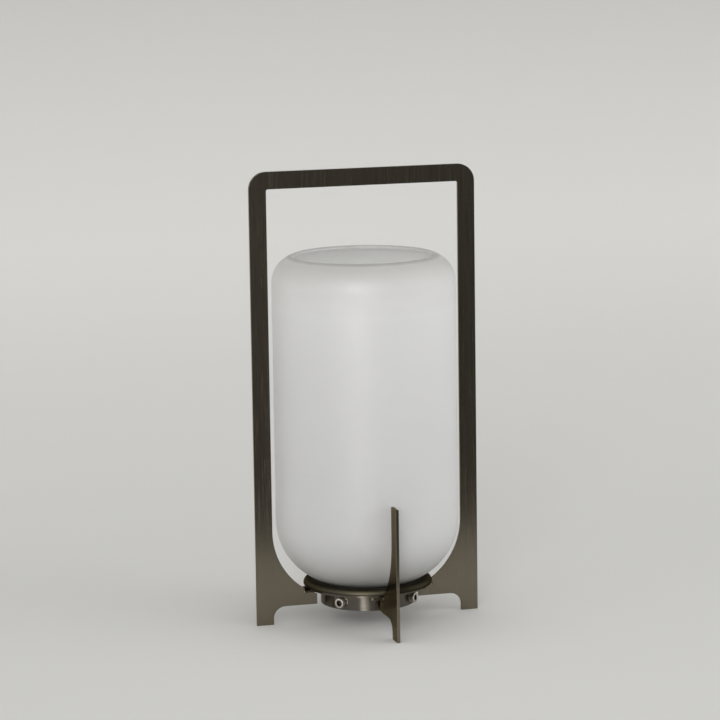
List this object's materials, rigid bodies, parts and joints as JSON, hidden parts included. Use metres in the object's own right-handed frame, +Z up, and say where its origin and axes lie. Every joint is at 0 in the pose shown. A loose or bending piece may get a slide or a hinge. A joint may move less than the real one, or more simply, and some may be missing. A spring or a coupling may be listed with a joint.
{
  "type": "lantern table lamp",
  "caption": "Table lamp with an open-topped opal glass cylinder standing in a flat metal portal frame with a carrying bar, short front and rear fins and a round base ring.",
  "frame": {"origin": "on the lamp's axis, on the table under the feet", "axes": "+Z up along the lamp's axis; X runs across the portal frame; -Y is the front"},
  "size_m": [0.228, 0.222, 0.45],
  "materials": {
    "dark_plate": "dark bronze-grey, satin, fine vertical brushing",
    "base_metal": "dark bronze-grey, glossy, turned",
    "dish_metal": "dark bronze-grey, satin, turned",
    "cover_paint": "matt",
    "screw_steel": "bright",
    "hub_aluminium": "turned",
    "black_plastic": "matt",
    "contact_brass": "bright",
    "gasket_rubber": "matt silicone",
    "pad_rubber": "matt silicone",
    "opal_glass": "blown opal glass, satin",
    "holder_plastic": "moulded",
    "holder_ceramic": "unglazed",
    "cap_aluminium": "bright",
    "bulb_plastic": "moulded",
    "bulb_diffuser": "satin diffuser"
  },
  "bodies": {
    "base": {"portal_frame": "dark_plate", "front_fin": "dark_plate", "rear_fin": "dark_plate", "ear_screws": "screw_steel", "flange_plate": "base_metal", "flange_screws": "screw_steel", "base_ring": "base_metal", "ring_screws": "screw_steel", "base_hub": "hub_aluminium", "bottom_cover": "cover_paint", "cover_screws": "screw_steel", "cable_bushing": "black_plastic", "earth_screw": "screw_steel", "earth_tag": "contact_brass", "glass_dish": "dish_metal", "dish_screws": "screw_steel", "seat_gasket": "gasket_rubber", "seat_pad": "pad_rubber", "nipple": "contact_brass", "nipple_washer": "screw_steel", "nipple_nut": "contact_brass", "holder_cap": "holder_plastic", "holder_skirt": "holder_plastic", "holder_insert": "holder_ceramic", "holder_shell": "contact_brass", "centre_contact": "contact_brass", "side_contact": "contact_brass"},
    "shade": {"glass_shade": "opal_glass"},
    "bulb": {"bulb_cap": "cap_aluminium", "bulb_insulator": "black_plastic", "bulb_contact": "cap_aluminium", "bulb_housing": "bulb_plastic", "bulb_globe": "bulb_diffuser"}
  },
  "joints": [
    {"name": "shade_lift", "type": "slide", "parent": "base", "child": "shade", "axis": [0, 0, 1], "range_m": [0, 0.06]},
    {"name": "bulb_lift", "type": "slide", "parent": "base", "child": "bulb", "axis": [0, 0, 1], "range_m": [0, 0.025]}
  ]
}
